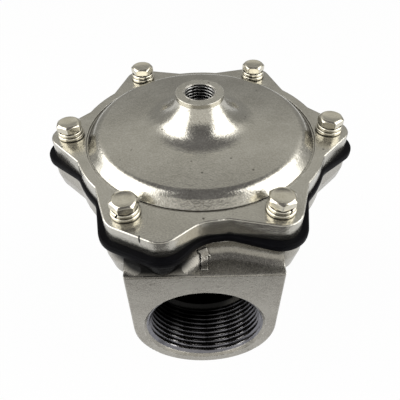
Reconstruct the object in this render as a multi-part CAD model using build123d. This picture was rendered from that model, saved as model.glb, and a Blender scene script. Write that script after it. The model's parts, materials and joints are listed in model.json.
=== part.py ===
from build123d import *
import math
import os

os.makedirs("parts", exist_ok=True)

# Right-angle diaphragm pulse valve for a dust collector, in millimetres.
# The origin is the centre of the outlet's end face, +Z runs up the valve axis,
# and the inlet leaves towards -Y. The valve is drawn closed.

# Main heights
cover_flange_thickness = 7.5
diaphragm_thickness = 3.0
flange_thickness = 6.5
block_top_drop = 5.7
seat_drop = 4.0
lift = 9.0

# Pipe threads, drawn as plain bores at the major diameter
port_thread_radius = 23.9
port_thread_length = 24.0
port_mouth_chamfer = 1.1
pilot_thread_radius = 6.58

# Passages and chamber
inlet_passage_step = 1.9
inlet_passage_gap = 0.8
inlet_passage_floor = 4.7
seat_bore_step = 3.9
seat_tube_wall = 4.0
seat_land_inner_chamfer = 0.6
seat_land_outer_chamfer = 1.8
chamber_width = 18.5
chamber_floor_rise = 5.6
chamber_floor_fillet = 5.0
chamber_knee_rise = 20.5
chamber_knee_fillet = 16.0

# Body casting
hub_wall = 5.6
hub_edge_chamfer = 1.0
bowl_wall = 7.5
bowl_knee_drop = 4.0
bowl_knee_fillet = 22.0
bowl_foot_fillet = 9.0
flange_root_fillet = 2.2
block_side_wall = 5.2
block_roof = 11.3
block_edge_fillet = 0.7
inlet_face_offset = 9.2
block_cove_radius = 4.5
boss_depth = 13.4
boss_draft = 12.0
boss_fillet = 2.6
front_boss_depth = 17.5
front_boss_fillet = 4.2

# Raised flow arrow on top of the inlet block
arrow_setback = 11.0
arrow_length = 8.4
arrow_head_length = 2.8
arrow_head_width = 4.8
arrow_shaft_width = 2.5
arrow_height = 0.45

# Six cover screws
bolt_count = 6
bolt_radius = 2.95
bolt_length = 25.0
bolt_tip_chamfer = 0.6
bolt_head_across_flats = 9.4
bolt_head_height = 3.5
bolt_head_chamfer = 0.8
bolt_crown_inset = 0.6
bolt_face_inset = 0.2
bolt_face_height = 0.5
bolt_head_turns = (38.0, 54.0, 1.0, 34.0, 12.0, 24.0)
bolt_end_gap = 2.7
drill_overrun = 0.6
flat_washer_radius = 5.5
flat_washer_thickness = 1.6
spring_washer_radius = 5.2
spring_washer_thickness = 1.6
spring_washer_slit = 0.8
spring_washer_slit_tilt = 25.0

# Clearances round the screw shanks
tapped_hole_clearance = 0.05
washer_hole_clearance = 0.15
rubber_hole_clearance = 0.25
cover_hole_clearance = 0.35

# Plan outline shared by the cover, the rubber and the body
disc_margin = 5.4
bolt_circle_offset = 2.2
lobe_margin = 2.8
lobe_root_angle = 20.0
nose_angle = 254.6
nose_offset = 1.4
nose_radius = 8.0
nose_root_angle = 269.6
nose_root_fillet = 14.0
rubber_overhang = 1.1
rubber_lobe_overhang = 2.9
outline_root_fillet = 9.0
body_overhang = 0.7
body_lobe_overhang = 1.1

# Cover casting
cover_edge_fillet = 0.5
cover_wall = 3.4
cavity_inset = 1.0
cavity_fillet = 4.0
shoulder_wall = 1.9
shoulder_width = 4.0
shoulder_height = 4.4
shoulder_fillet = 5.5
groove_gap = 0.5
groove_width = 0.9
groove_depth = 0.45
dish_wall = 4.0
neck_foot_width = 3.75
neck_flare = 15.0
pilot_boss_wall = 3.17
pilot_boss_rise = 12.25
pilot_collar_height = 1.9
nut_pocket_gap = 2.0
nut_pocket_headroom = 1.2
spring_guide_wall = 1.8
spring_guide_depth = 1.4
spring_guide_gap = 1.3
spring_seat_width = 3.9
spring_seat_headroom = 2.2

# Moulded diaphragm
roll_outer_radius = 5.0
roll_thickness = 2.0
roll_to_chamber = 2.0
rubber_corner_fillet = 1.2
bleed_hole_radius = 1.1
bleed_hole_count = 2

# Moving core clamped to the middle of the rubber
upper_plate_inset = 2.1
upper_plate_thickness = 2.0
upper_plate_rim_height = 1.3
upper_plate_rim_width = 1.6
lower_plate_clearance = 1.6
lower_plate_thickness = 4.0
lower_plate_taper = 2.2
core_screw_radius = 4.0
core_hole_clearance = 0.1
core_head_across_flats = 13.0
core_head_height = 5.3
core_washer_margin = 0.5
core_washer_thickness = 1.6
core_nut_height = 5.0
core_nut_chamfer = 0.8
core_screw_stickout = 0.7

# Conical closing spring
spring_wire_radius = 0.75
spring_plate_inset = 10.0
spring_turns = 3.5
spring_arcs_per_turn = 4
spring_seat_clearance = 0.04

# Radii that follow from the inlet and outlet threads
port_mouth_radius = port_thread_radius + port_mouth_chamfer
inlet_passage_radius = port_thread_radius - inlet_passage_step
seat_bore_radius = port_thread_radius - seat_bore_step
seat_tube_radius = seat_bore_radius + seat_tube_wall
hub_radius = port_thread_radius + hub_wall
block_half_width = port_thread_radius + block_side_wall
chamber_radius = seat_tube_radius + chamber_width
bowl_radius = chamber_radius + bowl_wall
cover_cavity_radius = chamber_radius - cavity_inset
shoulder_radius = cover_cavity_radius + shoulder_wall
shoulder_foot_radius = shoulder_radius + shoulder_width
groove_radius = shoulder_foot_radius + groove_gap
cover_disc_radius = shoulder_foot_radius + disc_margin
bolt_circle_radius = cover_disc_radius + bolt_circle_offset
cover_lobe_radius = flat_washer_radius + lobe_margin
nose_reach = bolt_circle_radius + nose_offset
axis_to_inlet_face = bolt_circle_radius + inlet_face_offset

# Radii of the diaphragm, the moving core and the spring
roll_inner_radius = roll_outer_radius - roll_thickness
roll_centre_radius = chamber_radius - roll_to_chamber - roll_outer_radius
upper_plate_radius = roll_centre_radius - roll_outer_radius - upper_plate_inset
lower_plate_radius = seat_bore_radius - lower_plate_clearance
core_hole_radius = core_screw_radius + core_hole_clearance
core_corner_radius = core_head_across_flats / math.sqrt(3)
core_washer_radius = core_corner_radius + core_washer_margin
nut_pocket_radius = core_corner_radius + nut_pocket_gap
spring_guide_radius = nut_pocket_radius + spring_guide_wall
spring_top_radius = spring_guide_radius + spring_guide_gap
spring_seat_radius = spring_top_radius + spring_seat_width
spring_bottom_radius = upper_plate_radius - spring_plate_inset
pilot_boss_radius = pilot_thread_radius + pilot_boss_wall
neck_foot_radius = pilot_boss_radius + neck_foot_width

# Heights of the body
chamber_floor_height = port_thread_length + seat_bore_step + chamber_floor_rise
chamber_knee_height = chamber_floor_height + chamber_knee_rise
bowl_knee_height = chamber_knee_height - bowl_knee_drop
outlet_to_inlet_axis = port_thread_length + seat_bore_step + inlet_passage_floor + inlet_passage_radius
block_top_z = outlet_to_inlet_axis + port_thread_radius + block_roof
flange_z = block_top_z + block_top_drop
seat_z = flange_z - seat_drop

# Heights of the moving core, closed
core_top_z = seat_z + diaphragm_thickness
upper_plate_top_z = core_top_z + upper_plate_thickness
core_washer_top_z = upper_plate_top_z + core_washer_thickness
core_nut_top_z = core_washer_top_z + core_nut_height
core_screw_top_z = core_nut_top_z + core_screw_stickout
lower_plate_bottom_z = seat_z - lower_plate_thickness

# Heights of the cover and its screws
clamp_z = flange_z + diaphragm_thickness
plate_z = clamp_z + cover_flange_thickness
spring_seat_z = upper_plate_top_z + upper_plate_rim_height + lift + spring_seat_headroom
nut_pocket_z = core_screw_top_z + lift + nut_pocket_headroom
dish_z = spring_seat_z + dish_wall
pilot_top_z = dish_z + pilot_boss_rise
flat_washer_top_z = plate_z + flat_washer_thickness
spring_washer_top_z = flat_washer_top_z + spring_washer_thickness
bolt_tip_z = spring_washer_top_z - bolt_length

# Places round the valve axis
inlet_angle = 270.0
bolt_angles = [index * 360.0 / bolt_count for index in range(bolt_count)]
first_nose_bolt = min(bolt_angles, key=lambda angle: abs(angle - nose_angle))


def polar(radius, angle):
    """Plan point at a radius and an angle in degrees."""
    turn = math.radians(angle)
    return (radius * math.cos(turn), radius * math.sin(turn))


def turned(points, corners=()):
    """Solid turned about the valve axis from a closed (radius, height) outline."""
    section = make_face(Polyline(*points, close=True))
    for corner, radius in corners:
        vertex = section.vertices().sort_by_distance(Vector(*corner))[0]
        section = fillet(vertex, radius)
    return revolve(Plane.XZ * section, Axis.Z)


def drilled(radius, bottom, top, place=(0.0, 0.0)):
    """Upright cylinder between two heights."""
    disc = Pos(place[0], place[1], bottom) * Circle(radius)
    return extrude(disc, top - bottom)


def hexagon_bar(across_flats, bottom, top, turn=0.0):
    """Upright hexagonal bar between two heights, with a corner at the turn angle."""
    face = RegularPolygon(across_flats / 2, 6, major_radius=False, rotation=turn)
    return extrude(Pos(0, 0, bottom) * face, top - bottom)


def tangent_web(centre, radius, root):
    """Plan area from the valve axis out to the line from a root point that touches a circle."""
    across = math.hypot(root[0] - centre[0], root[1] - centre[1])
    towards = math.atan2(root[1] - centre[1], root[0] - centre[0])
    side = centre[0] * root[1] - centre[1] * root[0]
    swing = math.copysign(math.acos(radius / across), side)
    reach = polar(radius, math.degrees(towards - swing))
    touch = (centre[0] + reach[0], centre[1] + reach[1])
    return make_face(Polyline((0, 0), centre, touch, root, close=True))


def lobe_face(angle, disc_radius, lobe_radius):
    """One screw lobe with its two straight flanks."""
    centre = polar(bolt_circle_radius, angle)
    face = Pos(*centre) * Circle(lobe_radius)
    for side in (-lobe_root_angle, lobe_root_angle):
        face += tangent_web(centre, lobe_radius, polar(disc_radius, angle + side))
    return face


def nose_face(disc_radius, lobe_radius, tip_radius):
    """The locating nose beside the front left lobe."""
    centre = polar(nose_reach, nose_angle)
    lobe_centre = polar(bolt_circle_radius, first_nose_bolt)
    circles = Sketch() + [Pos(*centre) * Circle(tip_radius), Pos(*lobe_centre) * Circle(lobe_radius)]
    face = make_hull(circles.edges())
    face += tangent_web(centre, tip_radius, polar(disc_radius, nose_root_angle))
    return face


def plan_outline(grow, lobe_grow, root_fillet=None):
    """Disc, lobes and nose, grown past the cover's edge; the nose's root is always rounded."""
    disc_radius = cover_disc_radius + grow
    lobe_radius = cover_lobe_radius + lobe_grow
    face = Sketch() + Circle(disc_radius)
    for angle in bolt_angles:
        face += lobe_face(angle, disc_radius, lobe_radius)
    face += nose_face(disc_radius, lobe_radius, nose_radius + lobe_grow)
    nose_root = Vector(*polar(disc_radius, nose_root_angle))
    if root_fillet:
        corners = face.vertices().sort_by_distance(nose_root)[1:]
        lobe_roots = [v for v in corners if math.isclose(math.hypot(v.X, v.Y), disc_radius, rel_tol=1e-4)]
        face = fillet(lobe_roots, root_fillet)
    return fillet(face.vertices().sort_by_distance(nose_root)[0], nose_root_fillet)


def make_cover():
    """Die-cast cover: flange plate, raised dish, pilot boss and the cavity below."""
    plate = extrude(Pos(0, 0, clamp_z) * plan_outline(0.0, 0.0), cover_flange_thickness)
    plate = fillet(plate.edges().group_by(Axis.Z)[-1], cover_edge_fillet)
    shoulder = (shoulder_radius, plate_z + shoulder_height)
    neck_foot = (neck_foot_radius, dish_z)
    dome = turned(
        [
            (0, clamp_z),
            (shoulder_foot_radius, clamp_z),
            (shoulder_foot_radius, plate_z),
            shoulder,
            neck_foot,
            (pilot_boss_radius, pilot_top_z - pilot_collar_height),
            (pilot_boss_radius, pilot_top_z),
            (0, pilot_top_z),
        ],
        [(shoulder, shoulder_fillet), (neck_foot, neck_flare)],
    )
    ceiling_outer = (cover_cavity_radius, plate_z + shoulder_height - cover_wall)
    ceiling_inner = (spring_seat_radius, spring_seat_z)
    guide_z = spring_seat_z - spring_guide_depth
    cavity = turned(
        [
            (0, clamp_z),
            (cover_cavity_radius, clamp_z),
            ceiling_outer,
            ceiling_inner,
            (spring_guide_radius, spring_seat_z),
            (spring_guide_radius, guide_z),
            (nut_pocket_radius, guide_z),
            (nut_pocket_radius, nut_pocket_z),
            (0, nut_pocket_z),
        ],
        [(ceiling_outer, cavity_fillet)],
    )
    groove = drilled(groove_radius + groove_width / 2, plate_z - groove_depth, plate_z)
    groove -= drilled(groove_radius - groove_width / 2, plate_z - groove_depth, plate_z)
    cover = plate + dome - cavity - groove - drilled(pilot_thread_radius, nut_pocket_z, pilot_top_z)
    hole_radius = bolt_radius + cover_hole_clearance
    for angle in bolt_angles:
        cover -= drilled(hole_radius, clamp_z, plate_z, polar(bolt_circle_radius, angle))
    return cover


def beside_block(angle):
    """Whether a screw stands next to the inlet block, where the bosses are deeper."""
    return abs(angle - inlet_angle) < 360.0 / bolt_count


def make_boss(angle):
    """Screw boss below the body flange, with draft and a rounded lower edge."""
    depth = front_boss_depth if beside_block(angle) else boss_depth
    corner = front_boss_fillet if beside_block(angle) else boss_fillet
    disc_radius = cover_disc_radius + body_overhang
    lobe_radius = cover_lobe_radius + body_lobe_overhang
    face = Pos(0, 0, flange_z - flange_thickness) * lobe_face(angle, disc_radius, lobe_radius)
    boss = extrude(face, depth - flange_thickness, dir=(0, 0, -1), taper=boss_draft)
    foot = Vector(0, 0, flange_z - depth)
    lower = boss.edges().group_by(Axis.Z)[0]
    outer = [edge for edge in lower if edge.distance_to(foot) > bowl_radius - corner]
    return fillet(outer, corner)


def make_inlet_block():
    """Inlet block: flat top, half-round bottom and a flat front face."""
    drop = block_top_z - outlet_to_inlet_axis
    profile = Circle(block_half_width)
    profile += Pos(0, drop / 2) * Rectangle(2 * block_half_width, drop)
    front = Plane((0, -axis_to_inlet_face, outlet_to_inlet_axis), x_dir=(1, 0, 0), z_dir=(0, -1, 0))
    block_end = seat_bore_radius + seat_tube_wall / 2
    block = extrude(front * profile, block_end - axis_to_inlet_face)
    return fillet(block.faces().sort_by(Axis.Y)[0].edges(), block_edge_fillet)


def make_inlet_bore():
    """Threaded inlet and the passage up to the seat tube, along +Z from its mouth."""
    reach = axis_to_inlet_face - seat_tube_radius - inlet_passage_gap
    return turned(
        [
            (0, 0),
            (port_mouth_radius, 0),
            (port_thread_radius, port_mouth_chamfer),
            (port_thread_radius, port_thread_length),
            (inlet_passage_radius, port_thread_length + inlet_passage_step),
            (inlet_passage_radius, reach),
            (0, reach),
        ]
    )


def make_outlet_bore():
    """Threaded outlet, the cone behind it and the bore up to the seat."""
    return turned(
        [
            (0, 0),
            (port_mouth_radius, 0),
            (port_thread_radius, port_mouth_chamfer),
            (port_thread_radius, port_thread_length),
            (seat_bore_radius, port_thread_length + seat_bore_step),
            (seat_bore_radius, seat_z - seat_land_inner_chamfer),
            (seat_bore_radius + seat_land_inner_chamfer, seat_z),
            (0, seat_z),
        ]
    )


def make_cove():
    """Flange wall run out onto the block top by a concave fillet."""
    reach = axis_to_inlet_face + bolt_circle_radius
    ledge_width = 2 * (bolt_circle_radius + block_cove_radius)
    front = Pos(0, -reach / 2 - seat_tube_radius) * Rectangle(ledge_width, reach)
    plan = plan_outline(body_overhang, body_lobe_overhang, outline_root_fillet) & front
    ledge_z = block_top_z - block_cove_radius
    wall = extrude(Pos(0, 0, ledge_z) * plan, flange_z - ledge_z)
    cove = wall + extrude(Pos(0, 0, ledge_z) * front, block_cove_radius)
    corner = [
        edge
        for edge in cove.edges()
        if all(math.isclose(v.Z, block_top_z, abs_tol=1e-6) for v in edge.vertices())
        and plan.distance_to(Vector(edge.center().X, edge.center().Y, 0)) < 1e-4
    ]
    return fillet(corner, block_cove_radius)


def trim_cove(cove):
    """The part of the cove that stands on the block, cut back at a slope behind the front edge."""
    front_y = block_edge_fillet - axis_to_inlet_face
    back_y = -seat_tube_radius
    ledge_z = block_top_z - block_cove_radius
    side = [
        (front_y, ledge_z),
        (front_y, block_top_z),
        (front_y + flange_z - block_top_z, flange_z),
        (back_y, flange_z),
        (back_y, ledge_z),
    ]
    room = extrude(Plane.YZ * make_face(Polyline(*side, close=True)), block_half_width, both=True)
    return cove & room


def make_arrow(cove):
    """Raised flow arrow that points into the valve and follows the cove."""
    arrow_tip_y = arrow_setback - axis_to_inlet_face
    head_y = arrow_tip_y - arrow_head_length
    tail_y = arrow_tip_y - arrow_length
    outline = [
        (0, arrow_tip_y),
        (arrow_head_width / 2, head_y),
        (arrow_shaft_width / 2, head_y),
        (arrow_shaft_width / 2, tail_y),
        (-arrow_shaft_width / 2, tail_y),
        (-arrow_shaft_width / 2, head_y),
        (-arrow_head_width / 2, head_y),
    ]
    face = make_face(Polyline(*outline, close=True))
    blank = extrude(Pos(0, 0, block_top_z - arrow_height) * face, block_cove_radius)
    return blank & (Pos(0, -arrow_height, arrow_height) * cove)


def make_valve_body():
    """Body casting: flange, screw bosses, bowl, inlet block, outlet hub and seat tube."""
    outline = plan_outline(body_overhang, body_lobe_overhang, outline_root_fillet)
    flange = extrude(Pos(0, 0, flange_z - flange_thickness) * outline, flange_thickness)
    flange_root = (bowl_radius, flange_z - flange_thickness)
    knee = (bowl_radius, bowl_knee_height)
    foot = (hub_radius, port_thread_length)
    bowl = turned(
        [
            (0, 0),
            (hub_radius - hub_edge_chamfer, 0),
            (hub_radius, hub_edge_chamfer),
            foot,
            knee,
            flange_root,
            (cover_disc_radius + body_overhang, flange_z - flange_thickness),
            (cover_disc_radius + body_overhang, flange_z),
            (0, flange_z),
        ],
        [(foot, bowl_foot_fillet), (knee, bowl_knee_fillet), (flange_root, flange_root_fillet)],
    )
    body = flange + bowl
    for angle in bolt_angles:
        body += make_boss(angle)
    cove = make_cove()
    body += make_inlet_block() + trim_cove(cove) + make_arrow(cove)
    chamber_knee = (chamber_radius, chamber_knee_height)
    chamber_floor = (seat_tube_radius, chamber_floor_height)
    body -= turned(
        [
            chamber_floor,
            chamber_knee,
            (chamber_radius, flange_z),
            (0, flange_z),
            (0, seat_z),
            (seat_tube_radius - seat_land_outer_chamfer, seat_z),
            (seat_tube_radius, seat_z - seat_land_outer_chamfer),
        ],
        [(chamber_knee, chamber_knee_fillet), (chamber_floor, chamber_floor_fillet)],
    )
    inlet = Plane((0, -axis_to_inlet_face, outlet_to_inlet_axis), x_dir=(1, 0, 0), z_dir=(0, 1, 0))
    body -= inlet * make_inlet_bore()
    body -= make_outlet_bore()
    for angle in bolt_angles:
        through_z = flange_z - boss_depth - drill_overrun
        hole_z = bolt_tip_z - bolt_end_gap if beside_block(angle) else through_z
        place = polar(bolt_circle_radius, angle)
        body -= drilled(bolt_radius + tapped_hole_clearance, hole_z, flange_z, place)
    return body


def make_diaphragm():
    """One moulded rubber sheet: clamped rim, rolled convolution and sunk centre."""
    rim = plan_outline(rubber_overhang, rubber_lobe_overhang, outline_root_fillet)
    sheet = extrude(Pos(0, 0, flange_z) * rim, diaphragm_thickness)
    sheet -= drilled(chamber_radius, flange_z, clamp_z)
    top_outer_leg = roll_centre_radius + roll_outer_radius
    top_inner_leg = roll_centre_radius - roll_outer_radius
    under_outer_leg = roll_centre_radius + roll_inner_radius
    under_inner_leg = roll_centre_radius - roll_inner_radius
    roll = Polyline(
        (top_outer_leg, clamp_z),
        (chamber_radius, clamp_z),
        (chamber_radius, flange_z),
        (under_outer_leg, flange_z),
        (under_outer_leg, clamp_z),
    )
    under_crest = (roll_centre_radius, clamp_z + roll_inner_radius)
    roll += ThreePointArc((under_outer_leg, clamp_z), under_crest, (under_inner_leg, clamp_z))
    roll += Polyline(
        (under_inner_leg, clamp_z),
        (under_inner_leg, seat_z),
        (core_hole_radius, seat_z),
        (core_hole_radius, core_top_z),
        (top_inner_leg, core_top_z),
        (top_inner_leg, clamp_z),
    )
    top_crest = (roll_centre_radius, clamp_z + roll_outer_radius)
    roll += ThreePointArc((top_inner_leg, clamp_z), top_crest, (top_outer_leg, clamp_z))
    section = make_face(roll)
    for corner in ((under_inner_leg, seat_z), (top_inner_leg, core_top_z)):
        vertex = section.vertices().sort_by_distance(Vector(*corner))[0]
        section = fillet(vertex, rubber_corner_fillet)
    sheet += revolve(Plane.XZ * section, Axis.Z)
    hole_radius = bolt_radius + rubber_hole_clearance
    for angle in bolt_angles:
        sheet -= drilled(hole_radius, flange_z, clamp_z, polar(bolt_circle_radius, angle))
    for index in range(bleed_hole_count):
        place = polar(roll_centre_radius, 90.0 + index * 360.0 / bleed_hole_count)
        sheet -= drilled(bleed_hole_radius, clamp_z, clamp_z + roll_outer_radius, place)
    return sheet


def make_upper_plate():
    """Pressed plate above the rubber, with a turned-up rim."""
    rim_z = upper_plate_top_z + upper_plate_rim_height
    rim_inner = upper_plate_radius - upper_plate_rim_width
    return turned(
        [
            (core_hole_radius, core_top_z),
            (upper_plate_radius, core_top_z),
            (upper_plate_radius, rim_z),
            (rim_inner, rim_z),
            (rim_inner - upper_plate_rim_height, upper_plate_top_z),
            (core_hole_radius, upper_plate_top_z),
        ],
        [((upper_plate_radius, core_top_z), upper_plate_rim_height)],
    )


def make_lower_plate():
    """Tapered guide plate below the rubber, inside the seat bore."""
    return turned(
        [
            (core_hole_radius, seat_z),
            (lower_plate_radius, seat_z),
            (lower_plate_radius - lower_plate_taper, lower_plate_bottom_z),
            (core_hole_radius, lower_plate_bottom_z),
        ]
    )


def make_core_screw():
    """Hexagon screw that clamps both plates to the rubber."""
    head_z = lower_plate_bottom_z - core_head_height
    head = hexagon_bar(core_head_across_flats, head_z, lower_plate_bottom_z)
    flat = core_head_across_flats / 2
    crown = turned(
        [
            (0, head_z),
            (flat, head_z),
            (core_corner_radius, head_z + core_nut_chamfer),
            (core_corner_radius, lower_plate_bottom_z),
            (0, lower_plate_bottom_z),
        ]
    )
    shank = drilled(core_screw_radius, lower_plate_bottom_z, core_screw_top_z)
    tip = shank.edges().group_by(Axis.Z)[-1]
    return (head & crown) + chamfer(tip, bolt_tip_chamfer)


def make_core_washer():
    """Flat washer under the core nut."""
    washer = drilled(core_washer_radius, upper_plate_top_z, core_washer_top_z)
    return washer - drilled(core_hole_radius, upper_plate_top_z, core_washer_top_z)


def make_core_nut():
    """Hexagon nut with both faces chamfered."""
    flat = core_head_across_flats / 2
    envelope = turned(
        [
            (core_hole_radius, core_washer_top_z),
            (flat, core_washer_top_z),
            (core_corner_radius, core_washer_top_z + core_nut_chamfer),
            (core_corner_radius, core_nut_top_z - core_nut_chamfer),
            (flat, core_nut_top_z),
            (core_hole_radius, core_nut_top_z),
        ]
    )
    return hexagon_bar(core_head_across_flats, core_washer_top_z, core_nut_top_z) & envelope


def make_spring():
    """Conical closing spring with ground ends, wide end on the upper plate."""
    rise = (spring_seat_z - upper_plate_top_z) / spring_turns
    taper = (spring_bottom_radius - spring_top_radius) / spring_turns

    def on_coil(turns):
        x, y = polar(spring_bottom_radius - taper * turns, 360.0 * turns)
        return Vector(x, y, upper_plate_top_z + rise * turns)

    arcs = []
    for index in range(round(spring_turns * spring_arcs_per_turn)):
        start, middle, end = (on_coil((index + share) / spring_arcs_per_turn) for share in (0.0, 0.5, 1.0))
        arcs.append(Edge.make_three_point_arc(start, middle, end))
    coil = Wire(arcs)
    section = Plane(origin=coil @ 0, z_dir=coil % 0) * Circle(spring_wire_radius)
    wire = sweep(section, path=coil, transition=Transition.ROUND)
    bottom = upper_plate_top_z + spring_seat_clearance
    top = spring_seat_z - spring_seat_clearance
    return wire & drilled(spring_bottom_radius + 2 * spring_wire_radius, bottom, top)


def make_bolt(angle, turn):
    """Hexagon cover screw with a round face under its head, tightened to its own turn angle."""
    place = polar(bolt_circle_radius, angle)
    head_top_z = spring_washer_top_z + bolt_head_height
    hexagon_z = spring_washer_top_z + bolt_face_height
    corner = bolt_head_across_flats / math.sqrt(3)
    crown = turned(
        [
            (0, hexagon_z),
            (corner, hexagon_z),
            (corner, head_top_z - bolt_head_chamfer),
            (bolt_head_across_flats / 2 - bolt_crown_inset, head_top_z),
            (0, head_top_z),
        ]
    )
    head = hexagon_bar(bolt_head_across_flats, hexagon_z, head_top_z, turn) & crown
    head += drilled(bolt_head_across_flats / 2 - bolt_face_inset, spring_washer_top_z, hexagon_z)
    shank = drilled(bolt_radius, bolt_tip_z, spring_washer_top_z)
    tip = shank.edges().group_by(Axis.Z)[0]
    return Pos(place[0], place[1], 0) * (head + chamfer(tip, bolt_tip_chamfer))


def make_spring_washer(angle):
    """Split spring washer, pressed flat, with its slanted slit."""
    hole_radius = bolt_radius + washer_hole_clearance
    ring = drilled(spring_washer_radius, flat_washer_top_z, spring_washer_top_z)
    ring -= drilled(hole_radius, flat_washer_top_z, spring_washer_top_z)
    middle = (hole_radius + spring_washer_radius) / 2
    middle_z = (flat_washer_top_z + spring_washer_top_z) / 2
    slit = Box(spring_washer_radius, spring_washer_slit, 3 * spring_washer_thickness)
    ring -= Pos(middle, 0, middle_z) * Rot(spring_washer_slit_tilt, 0, 0) * slit
    place = polar(bolt_circle_radius, angle)
    return Pos(place[0], place[1], 0) * Rot(0, 0, angle) * ring


def make_flat_washer(angle):
    """Plain washer on the cover."""
    place = polar(bolt_circle_radius, angle)
    washer = drilled(flat_washer_radius, plate_z, flat_washer_top_z, place)
    return washer - drilled(bolt_radius + washer_hole_clearance, plate_z, flat_washer_top_z, place)


pieces = {
    "valve_body": make_valve_body(),
    "cover": make_cover(),
    "diaphragm": make_diaphragm(),
    "upper_plate": make_upper_plate(),
    "lower_plate": make_lower_plate(),
    "core_screw": make_core_screw(),
    "core_washer": make_core_washer(),
    "core_nut": make_core_nut(),
    "closing_spring": make_spring(),
}
for number, bolt_angle in enumerate(bolt_angles, start=1):
    head_turn = bolt_head_turns[(number - 1) % len(bolt_head_turns)]
    pieces[f"cover_bolt_{number}"] = make_bolt(bolt_angle, head_turn)
    pieces[f"spring_washer_{number}"] = make_spring_washer(bolt_angle)
    pieces[f"flat_washer_{number}"] = make_flat_washer(bolt_angle)

for name, piece in pieces.items():
    export_step(piece, f"parts/{name}.step")
    print(name, round(piece.volume, 1))
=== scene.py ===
# %% [markdown]
# A diaphragm pulse valve, dressed for a photograph
#
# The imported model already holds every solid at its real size. This lesson adds
# what a camera sees close up: cast and machined finishes, pipe threads, screws
# with rounded heads, split washers and soft black rubber.
# Every length is in metres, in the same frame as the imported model: +Z runs up
# the valve axis and the inlet leaves towards -Y.

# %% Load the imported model
import json
import math

import bmesh
import bpy
import numpy as np
from mathutils import Matrix, Vector


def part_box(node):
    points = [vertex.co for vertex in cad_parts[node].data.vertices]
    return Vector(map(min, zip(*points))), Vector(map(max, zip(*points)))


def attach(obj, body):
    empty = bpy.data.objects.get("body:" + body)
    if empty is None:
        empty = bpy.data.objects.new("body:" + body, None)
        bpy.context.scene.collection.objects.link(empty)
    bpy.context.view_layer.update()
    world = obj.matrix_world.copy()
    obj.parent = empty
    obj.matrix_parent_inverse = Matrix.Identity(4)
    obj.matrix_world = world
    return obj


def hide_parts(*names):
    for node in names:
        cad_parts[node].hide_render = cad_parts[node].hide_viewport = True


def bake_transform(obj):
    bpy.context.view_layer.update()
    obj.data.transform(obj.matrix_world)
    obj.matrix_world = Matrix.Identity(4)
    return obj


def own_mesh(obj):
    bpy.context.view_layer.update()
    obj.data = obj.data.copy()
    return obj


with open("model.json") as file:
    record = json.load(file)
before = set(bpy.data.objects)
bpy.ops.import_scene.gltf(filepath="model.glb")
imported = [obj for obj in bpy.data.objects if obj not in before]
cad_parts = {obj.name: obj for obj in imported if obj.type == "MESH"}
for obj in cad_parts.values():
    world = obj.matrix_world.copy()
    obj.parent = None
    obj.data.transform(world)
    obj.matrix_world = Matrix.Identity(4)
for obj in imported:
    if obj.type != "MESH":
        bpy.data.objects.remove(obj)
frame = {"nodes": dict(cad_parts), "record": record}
nodes = frame["nodes"]
mounts = {mount["name"]: mount for mount in frame["record"]["mounts"]}
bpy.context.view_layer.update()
millimetre = 0.001
print("packed nodes:", len(nodes))

# %% [markdown]
# The camera
#
# A camera can be placed by eye or worked out. This one was worked out from the
# circles of the cover: it stands in front of the inlet, close to the valve, and
# looks down at about 46 degrees. Being that close gives the strong perspective,
# with the near lobes larger than the far ones. The small shift puts the valve
# where it stands in the picture.

# %% Place the camera
def link_object(name, data):
    """A new object in the scene, at the origin, for a mesh, a lens or a lamp."""
    made = bpy.data.objects.new(name, data)
    bpy.context.scene.collection.objects.link(made)
    return made


camera_place = Vector((-0.00288, -0.15884, 0.21694))
camera_azimuth = math.radians(0.36)
camera_drop = math.radians(45.95)
camera_roll = math.radians(-1.05)

forward = Vector((
    math.sin(camera_azimuth) * math.cos(camera_drop),
    math.cos(camera_azimuth) * math.cos(camera_drop),
    -math.sin(camera_drop),
))
level_right = Vector((math.cos(camera_azimuth), -math.sin(camera_azimuth), 0.0))
level_up = level_right.cross(forward)
camera_right = level_right * math.cos(camera_roll) + level_up * math.sin(camera_roll)
camera_up = camera_right.cross(forward)

lens = bpy.data.cameras.new("lens")
lens.sensor_width = 36.0
lens.lens = 39.96
lens.shift_x = 0.0067
lens.shift_y = 0.0473
lens.clip_start = 0.01
camera = link_object("camera", lens)
axes = Matrix((camera_right, camera_up, -forward)).transposed()
camera.matrix_world = Matrix.Translation(camera_place) @ axes.to_4x4()
bpy.context.scene.camera = camera
bpy.context.scene.view_settings.view_transform = "Standard"
cover_middle = Vector((0, 0, 0.1))
cover_distance = (camera_place - cover_middle).length
print("camera is", round(cover_distance, 3), "m from the middle of the cover")

# %% [markdown]
# Building node trees in code
#
# A node tree can be clicked together by hand or written down. Written down, it
# can be read line by line and used again. A few short helpers do the work: one
# adds a node, fills in its values and joins what feeds it, and the others stand
# for a step of arithmetic, so that a rule reads like a sum.

# %% Node helpers
node_spacing = 220
socket_kinds = {float: "NodeSocketFloat", tuple: "NodeSocketVector"}


def join(tree, source, target):
    """Joins an output socket to an input socket."""
    tree.links.new(source, target)


def fill_inputs(tree, made, inputs):
    """Gives each named input its value, or joins it where the value is another node's socket."""
    for name, value in inputs.items():
        if isinstance(value, bpy.types.NodeSocket):
            join(tree, value, made.inputs[name])
        else:
            made.inputs[name].default_value = value


def add_node(tree, kind, inputs=None, **settings):
    """A node of one kind to the right of the others, with named settings and inputs."""
    made = tree.nodes.new(kind)
    made.location.x = node_spacing * len(tree.nodes)
    for name, value in settings.items():
        setattr(made, name, value)
    fill_inputs(tree, made, inputs or {})
    return made


def maths(tree, operation, *values):
    """The result of one sum on sockets or numbers."""
    made = add_node(tree, "ShaderNodeMath", dict(enumerate(values)), operation=operation)
    return made.outputs["Value"]


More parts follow.
